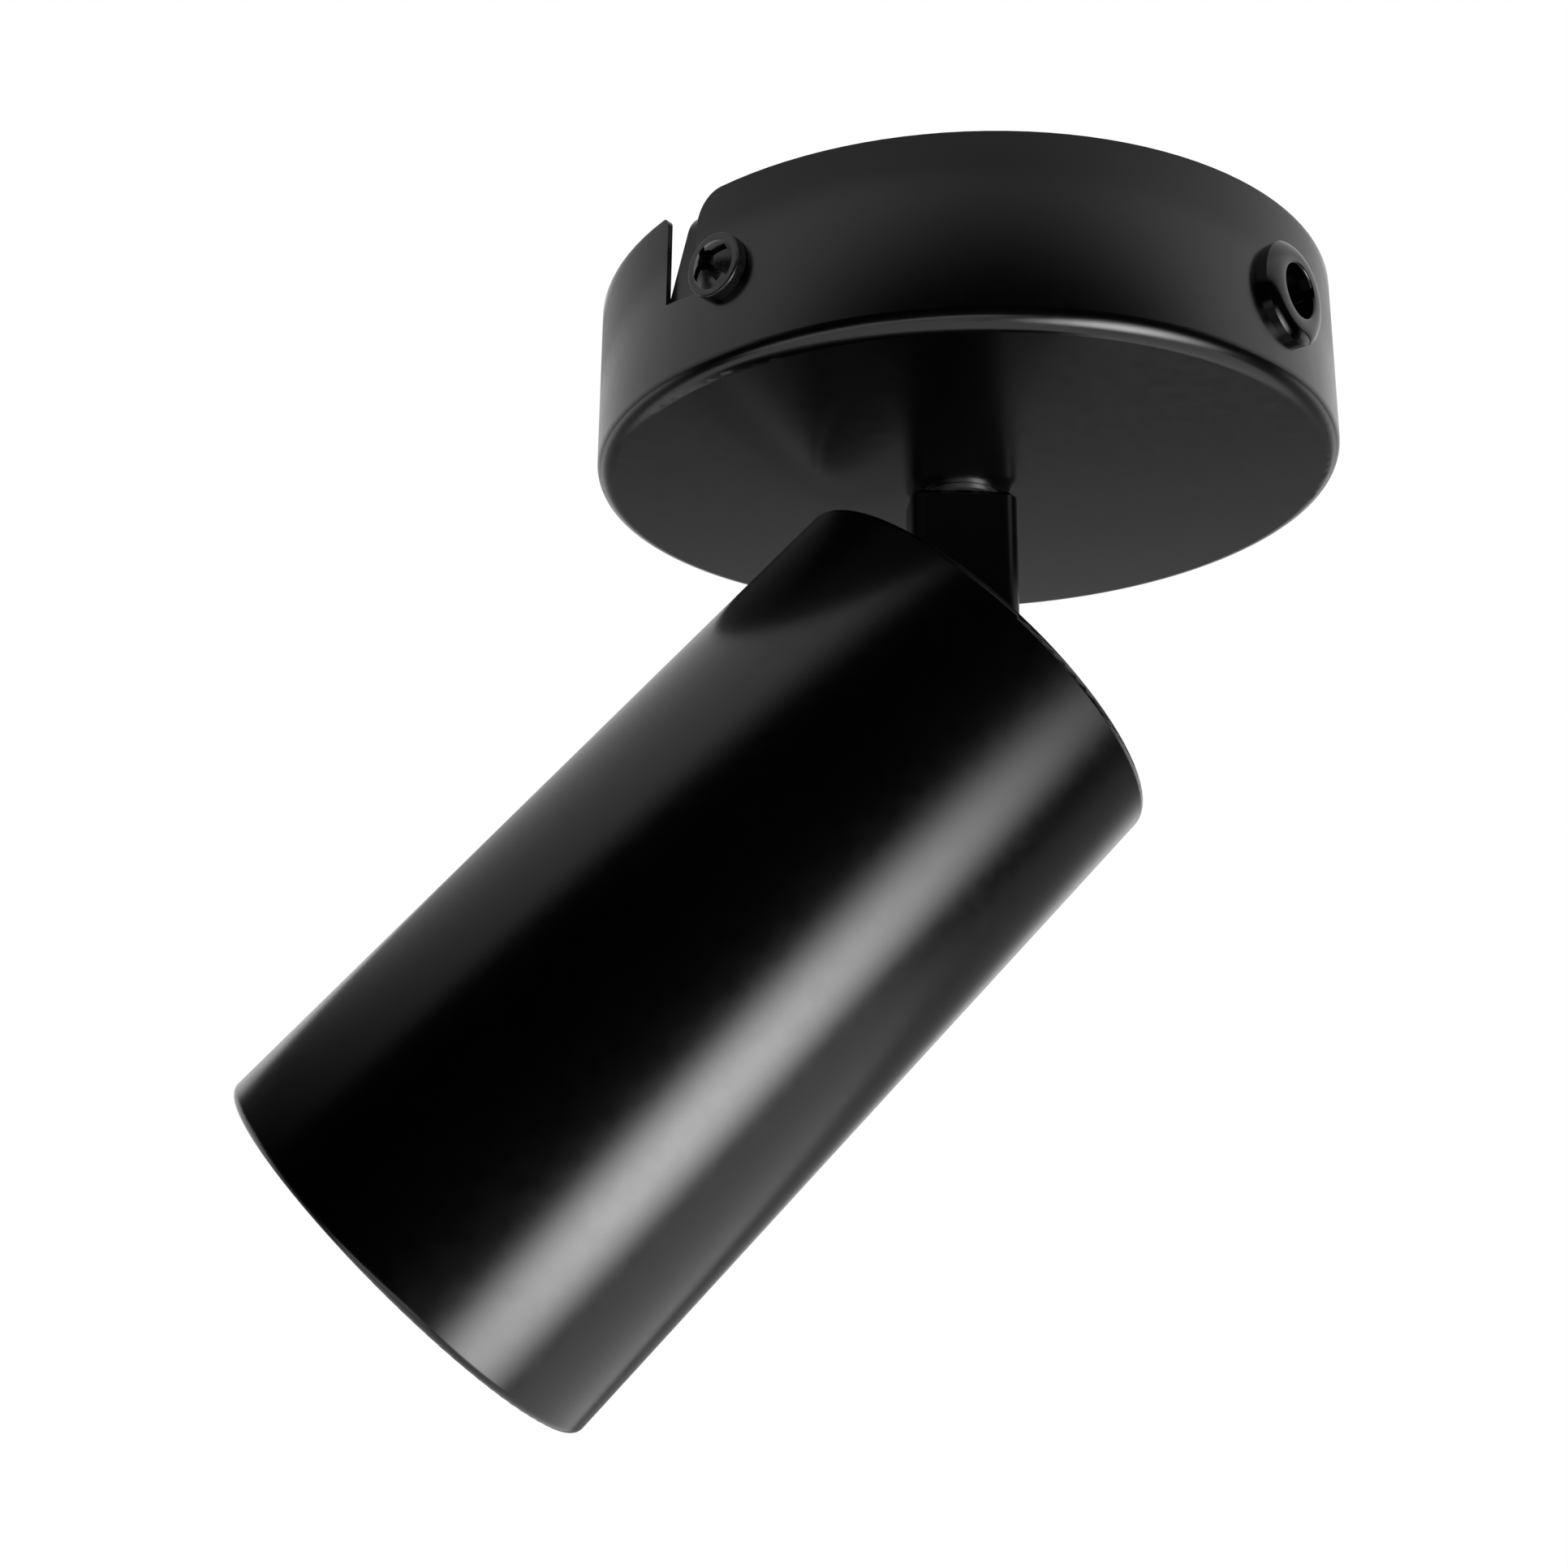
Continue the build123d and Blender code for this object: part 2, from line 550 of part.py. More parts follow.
def barrel_mouth():
    """The open end of a tag's barrel, with local +Z pointing out of it."""
    return Pos(TAG_LENGTH + TAG_BARREL_LENGTH / 2, 0, TAG_BARREL_RADIUS) * Rot(0, 90, 0)


def earth_tag():
    """A crimped ring tag: its ring lies round the origin and its barrel along +X."""
    tag = disc(TAG_RADIUS, 0, TAG_THICKNESS)
    tag += Pos(TAG_LENGTH / 2, 0, 0) * block(TAG_LENGTH, 2 * TAG_BARREL_RADIUS, 0, TAG_THICKNESS)
    tag += barrel_mouth() * disc(TAG_BARREL_RADIUS, -TAG_BARREL_LENGTH, 0)
    tag -= barrel_mouth() * disc(TAG_BARREL_BORE, -TAG_BARREL_LENGTH / 2, 0)
    return tag - disc(M4 + THREAD_PLAY, 0, TAG_THICKNESS)


def canopy_tag_place():
    return earth_place() * Pos(0, 0, CANOPY_FLOOR) * Rot(0, 0, EARTH_TAG_TURN - EARTH_AZIMUTH)


def canopy_earth_tag():
    return canopy_tag_place() * earth_tag()


def canopy_earth_screw():
    screw = pan_screw(M4, CANOPY_WALL / 2 + TAG_THICKNESS, M4_HEAD_RADIUS, M4_HEAD_HEIGHT)
    return earth_place() * Pos(0, 0, CANOPY_FLOOR + TAG_THICKNESS) * screw


def swivel_stop_pin():
    base = CANOPY_BOTTOM + CANOPY_WALL / 2
    return stop_pin_place() * disc(STOP_PIN_RADIUS, base, CANOPY_FLOOR + STOP_PIN_HEIGHT)


# Stem body


def swivel_stem():
    """The visible block, its hollow threaded shank and the slotted knuckle at its lower end."""
    outline = Rectangle(STEM_WIDTH, STEM_THICKNESS)
    outline = fillet(outline.vertices(), STEM_CORNER_RADIUS)
    lowest = PIVOT_Z - KNUCKLE_RADIUS
    body = Pos(0, 0, lowest) * extrude(outline, STEM_TOP - lowest)
    body = chamfer(body.edges().group_by(Axis.Z)[-1], STEM_TOP_CHAMFER)
    round_end = Rot(90, 0, 0) * disc(KNUCKLE_RADIUS, -STEM_THICKNESS, STEM_THICKNESS)
    keep = Pos(0, 0, PIVOT_Z) * round_end + block(STEM_WIDTH, STEM_THICKNESS, PIVOT_Z, STEM_TOP)
    body &= keep
    shank = disc(SHANK_RADIUS, STEM_TOP, SHANK_TOP)
    body += shank - Pos(-SHANK_FLAT - SHANK_RADIUS, 0, 0) * block(
        2 * SHANK_RADIUS, 2 * SHANK_RADIUS, STOP_WASHER_Z, SHANK_TOP
    )
    body -= disc(SHANK_BORE_RADIUS, PIVOT_Z, SHANK_TOP)
    body -= block(STEM_WIDTH, KNUCKLE_SLOT, lowest, PIVOT_Z + KNUCKLE_SLOT_HEIGHT)
    bore = Rot(90, 0, 0) * disc(PIVOT_TIP_RADIUS + PIVOT_RUNNING_GAP, -STEM_THICKNESS, STEM_THICKNESS)
    return body - Pos(0, 0, PIVOT_Z) * bore


def stem_collar():
    """The bright plain washer between the stem and the canopy."""
    return ring(COLLAR_RADIUS, SHANK_RADIUS + THREAD_PLAY, STEM_TOP, CANOPY_BOTTOM - SLIP)


def slip_washer():
    return ring(STOP_WASHER_RADIUS, SHANK_RADIUS + THREAD_PLAY, SLIP_WASHER_Z, STOP_WASHER_Z)


def stop_washer():
    """A washer keyed to the shank, whose tab meets the stop pin after almost a full turn."""
    hole = disc(SHANK_RADIUS + THREAD_PLAY, STOP_WASHER_Z, WAVE_WASHER_Z)
    flat = Pos(-SHANK_FLAT - THREAD_PLAY - SHANK_RADIUS, 0, 0)
    hole -= flat * block(2 * SHANK_RADIUS, 2 * STOP_WASHER_RADIUS, STOP_WASHER_Z, WAVE_WASHER_Z)
    washer = disc(STOP_WASHER_RADIUS, STOP_WASHER_Z, WAVE_WASHER_Z) - hole
    tab_start = (SHANK_RADIUS + STOP_WASHER_RADIUS) / 2
    tab = block(STOP_TAB_REACH - tab_start, STOP_TAB_WIDTH, STOP_WASHER_Z, WAVE_WASHER_Z)
    return washer + Pos(-(STOP_TAB_REACH + tab_start) / 2, 0, 0) * tab


def wave_washer():
    return ring(WAVE_WASHER_RADIUS, SHANK_RADIUS + THREAD_PLAY, WAVE_WASHER_Z, STEM_NUT_Z)


def stem_nut():
    nut = hexagon(STEM_NUT_ACROSS_FLATS, STEM_NUT_Z, STEM_NUT_Z + STEM_NUT_HEIGHT)
    return nut - disc(SHANK_RADIUS + THREAD_PLAY, STEM_NUT_Z, STEM_NUT_Z + STEM_NUT_HEIGHT)


def lead_offset(index):
    """Where one lead lies in the bundle of three, in the same order as in the terminal block."""
    angle = math.radians(TERMINAL_AZIMUTH + 60 + 120 * index)
    return LEAD_SPREAD * math.cos(angle), LEAD_SPREAD * math.sin(angle)


def lead_sleeve():
    inner = LEAD_SPREAD + LEAD_RADIUS + SLIP
    return ring(inner + SLEEVE_WALL, inner, PIVOT_Z + KNUCKLE_SLOT_HEIGHT, SHANK_TOP)


def stem_lead(index):
    x, y = lead_offset(index)
    return Pos(x, y, 0) * disc(LEAD_RADIUS, PIVOT_Z + LEAD_JOINT_GAP, SHANK_TOP)


def lead_tube(points):
    """A round lead along straight runs joined by tangent arcs."""
    radii = []
    for before, corner, after in zip(points, points[1:], points[2:]):
        into = corner - before
        out = after - corner
        half_turn = math.radians(into.get_angle(out)) / 2
        radii.append(0.45 * min(into.length, out.length) / math.tan(half_turn))
    path = FilletPolyline(*points, radius=radii)
    print("lead radii", [round(radius, 1) for radius in radii])
    return sweep(Plane(path @ 0, z_dir=path % 0) * Circle(LEAD_RADIUS), path=path)


def clamp_mouth(index, side):
    """The mouth of one clamp tube: side 1 faces the canopy's axis and side -1 the skirt."""
    y = terminal_ways()[index] - TERMINAL_PITCH / 2
    turn = 0 if side > 0 else 180
    place = terminal_place() * Pos(side * TERMINAL_LENGTH / 2, y, TERMINAL_TUBE_HEIGHT)
    return place * Rot(0, 0, turn) * Rot(0, 90, 0)


def along(place, distance):
    """The point at this distance in front of a mouth."""
    return (place * Pos(0, 0, distance)).position


def canopy_lead(index):
    """One lead from its clamp tube, up and over into the top of the shank."""
    mouth = clamp_mouth(index, 1)
    away = Vector(1, 0, 0).rotate(Axis.Z, TERMINAL_AZIMUTH)
    aside = away.rotate(Axis.Z, 90)
    reach = TERMINAL_DISTANCE - TERMINAL_LENGTH / 2
    spread = along(mouth, 0).dot(aside)
    bundle = Vector(*lead_offset(index), SHANK_TOP)
    lift = LEAD_STAGGER * (LEAD_SPREAD - bundle.dot(away))
    points = [along(mouth, -TERMINAL_GRIP), along(mouth, LEAD_EXIT)]
    for out_share, aside_share, arch_share in ((0.49, 0.45, 0.5), (0.19, 0.22, 1.0), (0, 0, 0.83)):
        rise = Vector(0, 0, arch_share * LEAD_ARCH + lift)
        points.append(bundle + away * out_share * reach + aside * aside_share * spread + rise)
    points.append(bundle + Vector(0, 0, SLIP))
    return lead_tube(points)


def canopy_bond_lead():
    """The lead that bonds the canopy: from the earth clamp's outer mouth to the ring tag."""
    clamp = clamp_mouth(LEAD_NAMES.index("earth"), -1)
    tag = canopy_tag_place() * barrel_mouth()
    half_way = (along(clamp, 0) + along(tag, 0)) / 2
    outwards = Vector(1, 0, 0).rotate(Axis.Z, TERMINAL_AZIMUTH)
    points = [
        along(clamp, -TERMINAL_GRIP),
        along(clamp, LEAD_EXIT + LEAD_RADIUS),
        half_way + outwards * BOND_LEAD_BOW + Vector(0, 0, LEAD_RADIUS),
        along(tag, BOND_LEAD_EXIT),
        along(tag, -TAG_BARREL_LENGTH / 2),
    ]
    return lead_tube(points)


# Head body: each function builds its piece around the pivot, with the head hanging straight down.


def head_tube():
    tube = ring(HEAD_RADIUS, HEAD_BORE, HEAD_FRONT, RIM_ABOVE_PIVOT)
    circles = tube.edges().filter_by(GeomType.CIRCLE)
    outer = circles.filter_by(lambda edge: edge.radius > HEAD_BORE + HEAD_WALL / 2)
    tube = fillet(outer, HEAD_EDGE_RADIUS)
    circles = tube.edges().filter_by(GeomType.CIRCLE)
    ends = circles.filter_by(lambda edge: abs(edge.radius - HEAD_BORE) < 1e-3)
    return fillet(ends, HEAD_INNER_EDGE_RADIUS)


def back_plate():
    """A pressed plate with a turned-down skirt, welded into the head's bore."""
    plate = disc(HEAD_BORE, PLATE_TOP - BACK_PLATE_SKIRT, PLATE_TOP)
    plate -= disc(HEAD_BORE - BACK_PLATE_THICKNESS, PLATE_TOP - BACK_PLATE_SKIRT, PLATE_BOTTOM)
    plate -= disc(BUSH_RADIUS, PLATE_BOTTOM, PLATE_TOP)
    for side in (-1, 1):
        fork_hole = disc(M3 + THREAD_PLAY, PLATE_BOTTOM, PLATE_TOP)
        plate -= Pos(side * FORK_SCREW_SPACING / 2, 0, 0) * fork_hole
        plate -= Pos(0, side * HOLDER_FOOT_SCREW_SPACING / 2, 0) * fork_hole
    return plate


def pivot_fork():
    """A channel whose two ears hold the knuckle between them."""
    width = 2 * EAR_OUTER
    web = block(FORK_LENGTH, width, PLATE_TOP, WEB_TOP)
    fork = fillet(web.edges().filter_by(Axis.Z), FORK_CORNER_RADIUS)
    for side in (-1, 1):
        middle = side * (EAR_INNER + EAR_THICKNESS / 2)
        ear = block(2 * EAR_RADIUS, EAR_THICKNESS, PLATE_TOP, 0)
        ear += Rot(90, 0, 0) * disc(EAR_RADIUS, -EAR_THICKNESS / 2, EAR_THICKNESS / 2)
        ear -= Rot(90, 0, 0) * disc(PIVOT_THREAD_RADIUS + THREAD_PLAY, -EAR_THICKNESS, EAR_THICKNESS)
        fork += Pos(0, middle, 0) * ear
        hole = disc(M3 + THREAD_PLAY, PLATE_TOP, WEB_TOP)
        fork -= Pos(side * FORK_SCREW_SPACING / 2, 0, 0) * hole
    return fork - disc(BUSH_RADIUS, PLATE_TOP, WEB_TOP)


def fork_screws():
    length = FORK_THICKNESS + BACK_PLATE_THICKNESS + SCREW_END
    screw = pan_screw(M3, length, M3_HEAD_RADIUS, M3_HEAD_HEIGHT)
    return group(Pos(side * FORK_SCREW_SPACING / 2, 0, WEB_TOP) * screw for side in (-1, 1))


def fork_nuts():
    bottom = PLATE_BOTTOM - M3_NUT_HEIGHT
    nut = hexagon(M3_NUT_ACROSS_FLATS, bottom, PLATE_BOTTOM) - disc(M3 + THREAD_PLAY, bottom, PLATE_BOTTOM)
    return group(Pos(side * FORK_SCREW_SPACING / 2, 0, 0) * nut for side in (-1, 1))


def on_pivot(piece):
    """Two mirrored copies of a piece that is drawn along +Z, laid along the tilt axis."""
    return group((Rot(-90, 0, 0) * piece, Rot(90, 0, 0) * piece))


def pivot_screws():
    """Socket screws threaded in the ears, whose plain tips carry the knuckle's cheeks."""
    tip_end = KNUCKLE_SLOT / 2 + SLIP
    cheek_face = STEM_THICKNESS / 2
    screw = disc(PIVOT_TIP_RADIUS, tip_end, cheek_face + SLIP)
    screw += disc(PIVOT_THREAD_RADIUS, cheek_face + SLIP, EAR_OUTER)
    top = EAR_OUTER + PIVOT_HEAD_HEIGHT
    head = disc(PIVOT_HEAD_RADIUS, EAR_OUTER, top)
    head = fillet(head.edges().sort_by(Axis.Z)[-1], PIVOT_HEAD_ROUNDING)
    head -= hexagon(PIVOT_SOCKET_ACROSS_FLATS, top - PIVOT_SOCKET_DEPTH, top)
    return on_pivot(screw + head)


def friction_washers():
    start = STEM_THICKNESS / 2 + SLIP
    end = start + FRICTION_WASHER_THICKNESS
    return on_pivot(ring(PIVOT_WASHER_RADIUS, PIVOT_THREAD_RADIUS + THREAD_PLAY, start, end))


def disc_springs():
    start = STEM_THICKNESS / 2 + SLIP + FRICTION_WASHER_THICKNESS
    return on_pivot(ring(PIVOT_WASHER_RADIUS, PIVOT_THREAD_RADIUS + THREAD_PLAY, start, EAR_INNER))


def lead_bush():
    """A moulded bush that guards the leads where they pass through the web and the plate."""
    bush = ring(BUSH_RADIUS, BUSH_BORE_RADIUS, PLATE_BOTTOM - BUSH_FLANGE, WEB_TOP)
    return bush + ring(BUSH_FLANGE_RADIUS, BUSH_BORE_RADIUS, PLATE_BOTTOM - BUSH_FLANGE, PLATE_BOTTOM)


def holder_bracket():
    """A hat-shaped strip along Y: two feet under the back plate and a shelf for the lampholder."""
    foot = HOLDER_BRACKET_FOOT / 2
    shelf = HOLDER_BRACKET_TOP / 2
    thick = HOLDER_BRACKET_THICKNESS
    section = make_face(
        Polyline(
            (-foot, PLATE_BOTTOM),
            (-shelf + thick, PLATE_BOTTOM),
            (-shelf + thick, HOLDER_TOP + thick),
            (shelf - thick, HOLDER_TOP + thick),
            (shelf - thick, PLATE_BOTTOM),
            (foot, PLATE_BOTTOM),
            (foot, PLATE_BOTTOM - thick),
            (shelf, PLATE_BOTTOM - thick),
            (shelf, HOLDER_TOP),
            (-shelf, HOLDER_TOP),
            (-shelf, PLATE_BOTTOM - thick),
            (-foot, PLATE_BOTTOM - thick),
            close=True,
        )
    )
    strip = extrude(upright(section), HOLDER_BRACKET_WIDTH / 2, both=True)
    strip -= disc(PIN_PITCH / 2 + 2 * LEAD_RADIUS, HOLDER_TOP, HOLDER_TOP + thick)
    for side in (-1, 1):
        foot_hole = disc(M3 + THREAD_PLAY, PLATE_BOTTOM - thick, PLATE_BOTTOM)
        strip -= Pos(0, side * HOLDER_FOOT_SCREW_SPACING / 2, 0) * foot_hole
        shelf_hole = disc(M3 + THREAD_PLAY, HOLDER_TOP, HOLDER_TOP + thick)
        strip -= Pos(0, side * HOLDER_SCREW_SPACING / 2, 0) * shelf_hole
    return strip


def holder_foot_screws():
    """Screws from the recess down through the back plate into the bracket's feet."""
    length = BACK_PLATE_THICKNESS + HOLDER_BRACKET_THICKNESS + SCREW_END
    screw = pan_screw(M3, length, M3_HEAD_RADIUS, M3_HEAD_HEIGHT)
    offset = HOLDER_FOOT_SCREW_SPACING / 2
    return group(Pos(0, side * offset, PLATE_TOP) * screw for side in (-1, 1))


def lampholder():
    """The ceramic holder, with two pin sockets below and two lead entries above."""
    body = disc(HOLDER_RADIUS, HOLDER_BOTTOM, HOLDER_TOP)
    body = chamfer(body.edges().group_by(Axis.Z)[-1], HOLDER_CHAMFER)
    for side in (-1, 1):
        socket = disc(PIN_SOCKET_RADIUS, HOLDER_BOTTOM, HOLDER_BOTTOM + PIN_SOCKET_DEPTH)
        body -= Pos(side * PIN_PITCH / 2, 0, 0) * socket
        entry = disc(LEAD_ENTRY_RADIUS, HOLDER_BOTTOM + PIN_SOCKET_DEPTH, HOLDER_TOP)
        body -= Pos(side * PIN_PITCH / 2, 0, 0) * entry
        screw_hole = disc(M3 + THREAD_PLAY, HOLDER_TOP - HOLDER_SCREW_HOLE, HOLDER_TOP)
        body -= Pos(0, side * HOLDER_SCREW_SPACING / 2, 0) * screw_hole
    return body


def holder_contacts():
    """Contact cups at the bottom of the pin sockets."""
    top = HOLDER_BOTTOM + PIN_SOCKET_DEPTH
    cup = disc(PIN_SOCKET_RADIUS - THREAD_PLAY, top - CONTACT_THICKNESS, top)
    return group(Pos(side * PIN_PITCH / 2, 0, 0) * cup for side in (-1, 1))


def holder_screws():
    length = HOLDER_BRACKET_THICKNESS + HOLDER_SCREW_GRIP
    screw = pan_screw(M3, length, HOLDER_SCREW_HEAD_RADIUS, M3_HEAD_HEIGHT)
    top = HOLDER_TOP + HOLDER_BRACKET_THICKNESS
    return group(Pos(0, side * HOLDER_SCREW_SPACING / 2, top) * screw for side in (-1, 1))


def lamp_base():
    base = disc(LAMP_BASE_RADIUS, LAMP_TOP - LAMP_BASE_LENGTH, LAMP_TOP)
    base = fillet(base.edges().group_by(Axis.Z)[-1], LAMP_BASE_ROUNDING)
    for side in (-1, 1):
        neck = disc(LAMP_PIN_NECK_RADIUS, LAMP_TOP - LAMP_PIN_ROOT, LAMP_TOP)
        base -= Pos(side * PIN_PITCH / 2, 0, 0) * neck
    return base


def lamp_pins():
    end = LAMP_TOP + LAMP_PIN_LENGTH
    pin = disc(LAMP_PIN_NECK_RADIUS, LAMP_TOP - LAMP_PIN_ROOT, end)
    pin += disc(LAMP_PIN_HEAD_RADIUS, end - LAMP_PIN_HEAD_HEIGHT, end)
    return group(Pos(side * PIN_PITCH / 2, 0, 0) * pin for side in (-1, 1))


def lamp_body():
    """The lamp's cone and bezel, which widen from the base to the lens."""
    back = LAMP_TOP - LAMP_BASE_LENGTH
    bezel = LAMP_FRONT + LAMP_BEZEL_LENGTH
    seat = LAMP_FRONT + LAMP_LENS_THICKNESS
    profile = Polyline(
        (0, back),
        (LAMP_BASE_RADIUS, back),
        (LAMP_RADIUS, bezel),
        (LAMP_RADIUS, LAMP_FRONT),
        (LAMP_LENS_RADIUS, LAMP_FRONT),
        (LAMP_LENS_RADIUS, seat),
        (0, seat),
        close=True,
    )
    return revolve(Rot(90, 0, 0) * make_face(profile), Axis.Z)


def lamp_lens():
    seat = LAMP_FRONT + LAMP_LENS_THICKNESS
    return disc(LAMP_LENS_RADIUS - THREAD_PLAY, LAMP_FRONT + LAMP_LENS_INSET, seat)


def front_ring():
    """A baffle ring in front of the lamp's bezel, which lines the bore as far as the front."""
    outer = HEAD_BORE - RING_GAP
    back = LAMP_FRONT - SLIP
    front = HEAD_FRONT + RING_SET_BACK
    flange = ring(outer, RING_OPENING_RADIUS, back - RING_FLANGE_THICKNESS, back)
    liner = ring(outer, outer - RING_WALL, front, back)
    lip = ring(HEAD_BORE - THREAD_PLAY, outer - RING_WALL, front, front + RING_WALL)
    return flange + liner + lip


def ring_springs():
    """Leaf springs between the ring and the head's bore, which hold the ring by friction."""
    outer = HEAD_BORE - THREAD_PLAY
    inner = HEAD_BORE - RING_GAP
    start = HEAD_FRONT + RING_SET_BACK + RING_WALL + SPRING_INSET
    end = start + SPRING_LENGTH
    shell = ring(outer, outer - SPRING_THICKNESS, start, end)
    foot = ring(outer, inner, end - SPRING_FOOT, end)
    keep = Pos(HEAD_RADIUS / 2, 0, 0) * block(HEAD_RADIUS, SPRING_WIDTH, start, end)
    spring = (shell + foot) & keep
    step = 360 / SPRING_COUNT
    azimuths = [SPRING_FIRST_AZIMUTH + step * turn for turn in range(SPRING_COUNT)]
    return group(Rot(0, 0, azimuth) * spring for azimuth in azimuths)


def head_earth_place():
    """The tag's place under the back plate, with its barrel towards the head's axis."""
    place = Rot(0, 0, HEAD_EARTH_AZIMUTH) * Pos(HEAD_EARTH_DISTANCE, 0, PLATE_BOTTOM)
    return place * Rot(180, 0, 180)


def head_earth_tag():
    return head_earth_place() * earth_tag()


def head_earth_screw():
    screw = pan_screw(M4, TAG_THICKNESS, M4_HEAD_RADIUS, M4_HEAD_HEIGHT)
    return head_earth_place() * Pos(0, 0, TAG_THICKNESS) * screw


def head_lead(index):
    """One lead from the tilt axis, through the bush, to the holder or to the earth tag."""
    x, y = lead_offset(index)
    start = Vector(x, y, -LEAD_JOINT_GAP)
    leave = Vector(x, y, PLATE_BOTTOM - LEAD_EXIT)
    if LEAD_NAMES[index] == "earth":
        mouth = head_earth_place() * barrel_mouth()
        return lead_tube([start, leave, along(mouth, LEAD_EXIT), along(mouth, -TAG_BARREL_LENGTH / 2)])
    reach = math.copysign(PIN_PITCH / 2, x)
    above = Vector(reach, 0, HOLDER_TOP + LEAD_EXIT)
    contact = Vector(reach, 0, HOLDER_BOTTOM + PIN_SOCKET_DEPTH + SLIP)
    return lead_tube([start, leave, above, contact])


def fixed_pieces():
    """Every piece of the canopy body and the stem body, by node name."""
    pieces = {
        "canopy_cup": canopy_cup(),
        "ceiling_bracket": ceiling_bracket(),
        "bracket_screws": bracket_screws(),
        "cable_grommet": cable_grommet(),
        "terminal_block": fixed_terminal_block(),
        "terminal_tubes": clamp_tubes(),
        "terminal_screws": clamp_screws(),
        "terminal_fixing_screw": terminal_fixing_screw(),
        "canopy_earth_tag": canopy_earth_tag(),
        "canopy_earth_screw": canopy_earth_screw(),
        "swivel_stop_pin": swivel_stop_pin(),
        "swivel_stem": swivel_stem(),
        "stem_collar": stem_collar(),
        "slip_washer": slip_washer(),
        "stop_washer": stop_washer(),
        "wave_washer": wave_washer(),
        "stem_nut": stem_nut(),
        "lead_sleeve": lead_sleeve(),
    }
    for index, name in enumerate(LEAD_NAMES):
        pieces[f"canopy_lead_{name}"] = canopy_lead(index)
        pieces[f"stem_lead_{name}"] = stem_lead(index)
    pieces["canopy_bond_lead"] = canopy_bond_lead()
    return pieces


def head_pieces():
    """Every piece of the head body, around the pivot with the head straight down."""
    pieces = {
        "head_tube": head_tube(),
        "back_plate": back_plate(),
        "pivot_fork": pivot_fork(),
        "fork_screws": fork_screws(),
        "fork_nuts": fork_nuts(),
        "pivot_screws": pivot_screws(),
        "friction_washers": friction_washers(),
        "disc_springs": disc_springs(),
        "lead_bush": lead_bush(),
        "holder_bracket": holder_bracket(),
        "holder_foot_screws": holder_foot_screws(),
        "lampholder": lampholder(),
        "holder_contacts": holder_contacts(),
        "holder_screws": holder_screws(),
        "lamp_base": lamp_base(),
        "lamp_pins": lamp_pins(),
        "lamp_body": lamp_body(),
        "lamp_lens": lamp_lens(),
        "front_ring": front_ring(),
        "ring_springs": ring_springs(),
        "head_earth_tag": head_earth_tag(),
        "head_earth_screw": head_earth_screw(),
    }
    for index, name in enumerate(LEAD_NAMES):
        pieces[f"head_lead_{name}"] = head_lead(index)
    return pieces


def main():
    os.makedirs("parts", exist_ok=True)
    for node, piece in fixed_pieces().items():
        export_step(piece, f"parts/{node}.step")
    for node, piece in head_pieces().items():
        export_step(HEAD_PLACE * piece, f"parts/{node}.step")


main()
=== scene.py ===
"""The looks of a surface mounted ceiling spotlight: satin black canopy, swivelling stem and tilting tube head."""

import json
import math

import bmesh
import bpy
from mathutils import Matrix, Vector


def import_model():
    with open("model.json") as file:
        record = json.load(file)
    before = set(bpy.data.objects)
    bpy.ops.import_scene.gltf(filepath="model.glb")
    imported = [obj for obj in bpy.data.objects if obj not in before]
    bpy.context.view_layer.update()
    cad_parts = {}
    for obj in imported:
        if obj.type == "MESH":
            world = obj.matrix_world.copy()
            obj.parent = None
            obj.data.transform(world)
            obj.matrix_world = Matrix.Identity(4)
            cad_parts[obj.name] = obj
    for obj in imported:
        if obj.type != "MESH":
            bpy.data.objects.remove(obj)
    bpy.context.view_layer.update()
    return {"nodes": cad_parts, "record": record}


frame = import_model()

WHITE = (1.0, 1.0, 1.0, 1.0)

# Camera: the photograph's viewpoint, in metres, and its turns in degrees.
CAMERA_PLACE = (-0.03386, -0.21812, -0.11315)
CAMERA_TURN = (103.671, -0.536, -2.663)
CAMERA_CLIP = (0.01, 20.0)
SENSOR_WIDTH = 36.0
FOCAL_LENGTH = 38.94
SHIFT = (0.0005, -0.0228)

# Head: its axis at rest, in metres.
TILT_PIVOT = (0.0, 0.0, -0.0503)
HEAD_AXIS = (-0.682, 0.0, -0.731)

